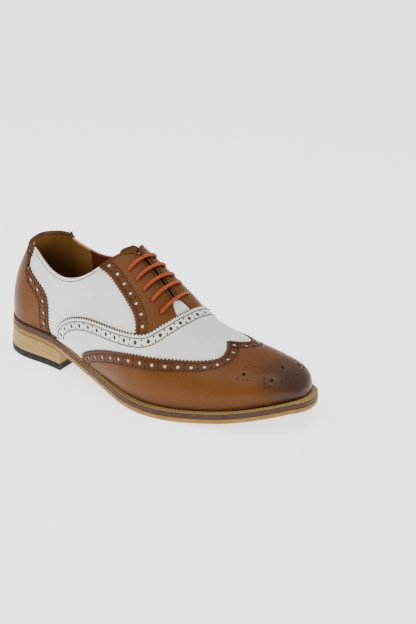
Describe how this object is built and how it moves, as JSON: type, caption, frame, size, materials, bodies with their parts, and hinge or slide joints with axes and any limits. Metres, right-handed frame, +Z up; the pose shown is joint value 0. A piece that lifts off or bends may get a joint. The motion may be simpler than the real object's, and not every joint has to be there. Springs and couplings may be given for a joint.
{
  "type": "spectator shoe",
  "caption": "Low lace-up two-tone dress shoe with wing toe cap, punched and pinked seams, closed lacing, layered leather sole and low stacked heel.",
  "frame": {"origin": "bottom centre of the shoe's bounding box, on the ground plane", "axes": "+X to the toe, +Y to the medial (big toe) side, +Z up"},
  "size_m": [0.2984, 0.1153, 0.1138],
  "materials": {
    "white_leather": "smooth white calf with a satin finish",
    "tan_leather": "burnished tan calf, darker at the toe and along the seams",
    "lining_leather": "mustard-tan lining leather, matt",
    "tongue_leather": "white leather with a pale felt edge",
    "natural_sole": "natural tan sole leather, waxed edge",
    "midsole_brown": "dark brown midsole leather edge",
    "stacked_heel": "stacked leather heel, pale with fine horizontal layers",
    "black_rubber": "matt black rubber top piece",
    "waxed_lace": "thin round waxed cotton lace, rust orange"
  },
  "bodies": {
    "root": {"upper": "white_leather", "vamp": "white_leather", "wing_cap": "tan_leather", "counter": "tan_leather", "facing_lateral": "tan_leather", "facing_medial": "tan_leather", "tongue": "tongue_leather", "insole": "lining_leather", "welt": "natural_sole", "midsole": "midsole_brown", "outsole": "natural_sole", "heel_stack": "stacked_heel", "heel_top_lift": "black_rubber", "lace_bar_1": "waxed_lace", "lace_bar_2": "waxed_lace", "lace_bar_3": "waxed_lace", "lace_bar_4": "waxed_lace", "lace_bar_5": "waxed_lace"}
  },
  "joints": []
}
